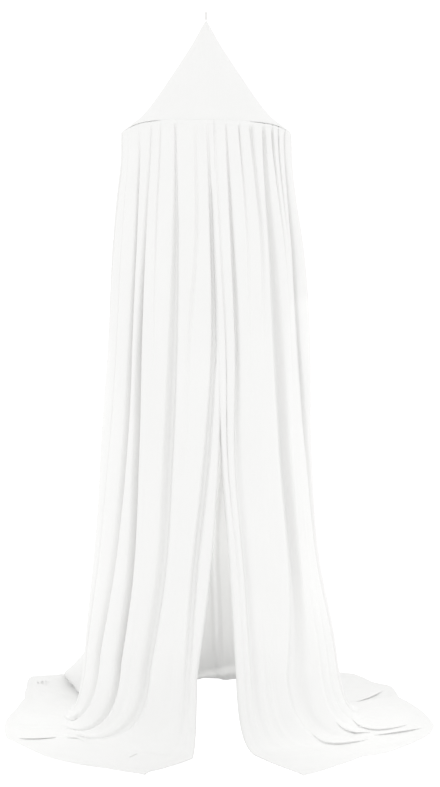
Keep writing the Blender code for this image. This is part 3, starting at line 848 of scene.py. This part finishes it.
def sheet_from_grid(name, points, finish):
    """A mesh from rows of points, its outside away from the axis, mapped in metres of cloth."""
    rows, columns = points.shape[:2]
    bpy.ops.object.select_all(action="DESELECT")
    bpy.ops.mesh.primitive_grid_add(
        x_subdivisions=columns - 1, y_subdivisions=rows - 1, size=1, calc_uvs=False
    )
    piece = bpy.context.object
    piece.name = piece.data.name = name
    # The grid's points run along X first, then up Y, so its rows are laid from the hem up.
    piece.data.vertices.foreach_set("co", points[::-1].reshape(-1, 3).astype(np.float32).ravel())
    across = lengths_along(points, 1)
    across = across - across[:, columns // 2:columns // 2 + 1]
    along = lengths_along(points, 0)
    place = np.stack([across, along], axis=-1)[::-1].reshape(-1, 2)
    corners = np.zeros(len(piece.data.loops), dtype=np.int32)
    piece.data.loops.foreach_get("vertex_index", corners)
    layer = piece.data.uv_layers.new(name="cloth")
    layer.data.foreach_set("uv", place[corners].astype(np.float32).ravel())
    piece.data.materials.append(finish)
    piece.data.update()
    face_outwards(piece, points)
    return piece


def thicken(piece):
    """Gives the cloth its thickness, inwards."""
    solid = piece.modifiers.new("thickness", "SOLIDIFY")
    solid.thickness = CLOTH
    solid.offset = -1
    bpy.ops.object.modifier_apply(modifier=solid.name)
    bpy.ops.object.shade_smooth()


def face_outwards(piece, points):
    """Turns the faces over if the middle of the cloth faces the axis."""
    rows, columns = points.shape[:2]
    face = piece.data.polygons[(rows // 2) * (columns - 1) + columns // 4]
    centre = face.center
    if face.normal.x * centre.x + face.normal.y * centre.y < 0:
        bpy.ops.object.mode_set(mode="EDIT")
        bpy.ops.mesh.select_all(action="SELECT")
        bpy.ops.mesh.flip_normals()
        bpy.ops.object.mode_set(mode="OBJECT")


def make_curtain(finish):
    points = add_cloth_detail(curtain_grid())
    curtain = sheet_from_grid("muslin_curtain", points, finish)
    add_floor_folds(curtain)
    thicken(curtain)
    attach(curtain, "root")
    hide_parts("curtain")


def make_crown(finish):
    """The crown's cone, flaring to the hoop and folded over its channel, with slack lobes."""
    heights = [ring.height for ring in CROWN_RINGS]
    radii = [ring.radius for ring in CROWN_RINGS]
    share = np.linspace(CROWN_TIP_SHARE, 1, CROWN_STEPS)
    height = APEX_HEIGHT + (heights[-1] - APEX_HEIGHT) * share
    radius = smooth(heights, radii, height)
    azimuth = np.linspace(180, -180, CROWN_SIDES + 1)
    radius, _ = np.meshgrid(radius, azimuth, indexing="ij")
    height, azimuth = np.meshgrid(height, azimuth, indexing="ij")
    down = (APEX_HEIGHT - height) / (APEX_HEIGHT - RIM_HEIGHT)
    slack = np.sin(math.pi * np.clip(down, 0, 1))
    lobe = sum(size * np.sin(count * np.radians(azimuth) + phase) for count, size, phase in CROWN_LOBES)
    near_rim = np.clip(1 - (height - RIM_HEIGHT) / CROWN_BOW_HEIGHT, 0, 1)
    radius = radius + slack * lobe
    height = height + near_rim * rim_rise(azimuth)
    crown_end, _, gape = seam(azimuth[0])
    for step in range(1, CROWN_RIM_STEPS + 1):
        angle = np.radians(CROWN_LEAVES_RIM + (crown_end - CROWN_LEAVES_RIM) * step / CROWN_RIM_STEPS)
        over = CROWN_OVER_RIM + LIP * gape * step / CROWN_RIM_STEPS
        radius = np.vstack([radius, HOOP_RADIUS + over * np.cos(angle)])
        height = np.vstack([height, RIM_HEIGHT + rim_rise(azimuth[0]) + over * np.sin(angle)])
    turn = np.radians(azimuth[0])
    points = np.stack([radius * np.sin(turn), -radius * np.cos(turn), level(height)], axis=-1)
    crown = sheet_from_grid("muslin_crown", points, finish)
    thicken(crown)
    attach(crown, "root")
    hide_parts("crown")


def ring_piece(name, radius, finish, sides=14):
    """A smooth ring on the hoop's line, bowed as the hoop is."""
    bpy.ops.object.select_all(action="DESELECT")
    bpy.ops.mesh.primitive_torus_add(
        major_segments=RING_SEGMENTS, minor_segments=sides, major_radius=HOOP_RADIUS, minor_radius=radius
    )
    piece = bpy.context.object
    piece.name = piece.data.name = name
    for vertex in piece.data.vertices:
        azimuth = math.degrees(math.atan2(vertex.co.x, -vertex.co.y))
        vertex.co.z += level(RIM_HEIGHT) + rim_rise(azimuth)
    piece.data.materials.append(finish)
    bpy.ops.object.shade_smooth()
    return piece


def make_rim(cloth, paint):
    casing = ring_piece("hoop_channel", CASING_RADIUS, cloth)
    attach(casing, "root")
    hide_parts("rim_casing")
    hoop = ring_piece("hoop_rod", HOOP_ROD_RADIUS, paint, sides=10)
    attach(hoop, "root")
    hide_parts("hoop")


def make_loop(finish):
    """Oval ring of twisted cord on the crown's tip, in the front-to-back plane."""
    top = LOOP_CORD_RADIUS
    bottom = level(APEX_HEIGHT) + LOOP_GAP + LOOP_CORD_RADIUS
    half_height = (top - bottom) / 2
    half_width = LOOP_EYE_WIDTH / 2 + LOOP_CORD_RADIUS
    bpy.ops.object.select_all(action="DESELECT")
    bpy.ops.mesh.primitive_torus_add(
        major_segments=96, minor_segments=18, major_radius=1.0, minor_radius=0.1,
        rotation=(0, math.pi / 2, 0)
    )
    bpy.ops.object.transform_apply(location=False, rotation=True, scale=False)
    loop = bpy.context.object
    loop.name = loop.data.name = "cord_loop"
    for vertex in loop.data.vertices:
        turn = math.atan2(vertex.co.y, vertex.co.z)
        centre = (math.sin(turn), math.cos(turn))
        out = vertex.co.y * centre[0] + vertex.co.z * centre[1] - 1.0
        side = math.atan2(vertex.co.x, out)
        strands = math.cos(CORD_STRANDS * side + CORD_TWIST * turn)
        cord = LOOP_CORD_RADIUS * (CORD_CORE + CORD_STRAND * strands)
        away = (half_height * centre[0], half_width * centre[1])
        length = math.hypot(*away)
        vertex.co = (
            cord * math.sin(side),
            half_width * centre[0] + away[0] / length * cord * math.cos(side),
            (top + bottom) / 2 + half_height * centre[1] + away[1] / length * cord * math.cos(side),
        )
    loop.data.materials.append(finish)
    bpy.ops.object.shade_smooth()
    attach(loop, "root")
    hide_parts("hanging_loop")


def cord_material(name):
    """Unbleached cotton cord, a little duller than the muslin."""
    made, tree, shader = new_material(name)
    shader.inputs["Roughness"].default_value = 0.9
    shader.inputs["Specular IOR Level"].default_value = 0.2
    place = add_node(tree, "ShaderNodeTexCoord")
    fuzz = add_node(
        tree, "ShaderNodeTexNoise", {"Scale": 1800.0, "Detail": 2.0}, [("Vector", place.outputs["Object"])]
    )
    tint = add_node(tree, "ShaderNodeValToRGB", links=[("Fac", fuzz.outputs["Fac"])])
    tint.color_ramp.elements[0].color = linear("#B0AEAA")
    tint.color_ramp.elements[1].color = linear("#C6C4C0")
    tree.links.new(tint.outputs["Color"], shader.inputs["Base Color"])
    return made


def paint_material(name):
    """White powder paint on the hoop's rod, faintly rough like orange peel."""
    made, tree, shader = new_material(name)
    shader.inputs["Roughness"].default_value = 0.45
    shader.inputs["Base Color"].default_value = linear("#E6E6E4")
    place = add_node(tree, "ShaderNodeTexCoord")
    peel = add_node(
        tree, "ShaderNodeTexNoise", {"Scale": 900.0, "Detail": 1.0}, [("Vector", place.outputs["Object"])]
    )
    bump = add_node(
        tree, "ShaderNodeBump", {"Strength": 0.2, "Distance": 0.0001}, [("Height", peel.outputs["Fac"])]
    )
    tree.links.new(bump.outputs["Normal"], shader.inputs["Normal"])
    return made


def make_floor():
    bpy.ops.object.select_all(action="DESELECT")
    bpy.ops.mesh.primitive_plane_add(size=STUDIO_FLOOR_SIZE, location=(0, 0, FLOOR - STUDIO_FLOOR_BELOW))
    floor = bpy.context.object
    floor.name = "studio_floor"
    made, tree, shader = new_material("white_studio_floor")
    # Lit paper: pure white to the eye, and a light to the canopy's outside but not to its inside.
    shader.inputs["Base Color"].default_value = (*[STUDIO_FLOOR_GREY] * 3, 1)
    shader.inputs["Emission Color"].default_value = (1, 1, 1, 1)
    shader.inputs["Roughness"].default_value = 1.0
    shader.inputs["Specular IOR Level"].default_value = 0.0
    place = add_node(tree, "ShaderNodeTexCoord")
    away = add_node(
        tree, "ShaderNodeVectorMath", {"operation": "LENGTH"}, [("Vector", place.outputs["Object"])]
    )
    glow = add_node(tree, "ShaderNodeMapRange", {
        "From Min": FLOOR_DARK[0], "From Max": FLOOR_DARK[1], "To Min": 0.0, "To Max": FLOOR_GLOW,
    }, [("Value", away.outputs["Value"])])
    eye = add_node(tree, "ShaderNodeLightPath")
    strength = add_node(tree, "ShaderNodeMath", {"operation": "MAXIMUM"})
    tree.links.new(glow.outputs["Result"], strength.inputs[0])
    tree.links.new(eye.outputs["Is Camera Ray"], strength.inputs[1])
    tree.links.new(strength.outputs["Value"], shader.inputs["Emission Strength"])
    floor.data.materials.append(made)


def make_light():
    world = bpy.data.worlds.new("white_studio")
    world.use_nodes = True
    world.node_tree.nodes["Background"].inputs["Color"].default_value = (1, 1, 1, 1)
    world.node_tree.nodes["Background"].inputs["Strength"].default_value = STUDIO_BRIGHTNESS
    bpy.context.scene.world = world
    bpy.context.scene.view_settings.view_transform = "Standard"
    # Daylight that the thin cloth lets through fills the inside.
    for height, watts in FILLS:
        glow = bpy.data.lights.new("through_the_cloth", "POINT")
        glow.energy = watts
        glow.shadow_soft_size = FILL_SIZE
        lamp = bpy.data.objects.new("through_the_cloth", glow)
        lamp.location = (0, FILL_BEHIND, level(height))
        lamp.visible_camera = False
        bpy.context.scene.collection.objects.link(lamp)


def make_spread_light():
    """Two soft lights from above on the cloth that is spread out on the floor."""
    for across, behind, watts in SPREAD_LIGHTS:
        soft_box = bpy.data.lights.new("soft_box", "AREA")
        soft_box.energy = watts
        soft_box.size = SPREAD_LIGHT_SIZE
        soft_box.spread = math.radians(SPREAD_LIGHT_ANGLE)
        lamp = bpy.data.objects.new("soft_box", soft_box)
        lamp.location = (across, behind, level(SPREAD_LIGHT_HEIGHT))
        lamp.visible_camera = False
        bpy.context.scene.collection.objects.link(lamp)


def make_camera():
    """A level camera in front of the canopy, where the photograph was taken."""
    lens = bpy.data.cameras.new("studio_camera")
    lens.sensor_fit = "VERTICAL"
    lens.sensor_height = SENSOR_MM
    lens.sensor_width = SENSOR_MM
    lens.lens = FOCAL / FRAME_HEIGHT * SENSOR_MM
    lens.shift_x = (FRAME_WIDTH / 2 - AXIS_COLUMN) / FRAME_HEIGHT
    lens.shift_y = (HORIZON_ROW - FRAME_HEIGHT / 2) / FRAME_HEIGHT
    camera = bpy.data.objects.new("studio_camera", lens)
    camera.location = (0, -EYE_DISTANCE, level(EYE_HEIGHT))
    camera.rotation_euler = (math.radians(90), 0, 0)
    bpy.context.scene.collection.objects.link(camera)
    bpy.context.scene.camera = camera


muslin = muslin_material("cotton_muslin")
make_camera()
make_light()
make_spread_light()
make_floor()
make_curtain(muslin)
make_crown(muslin)
make_rim(muslin, paint_material("white_powder_paint"))
make_loop(cord_material("twisted_cotton_cord"))
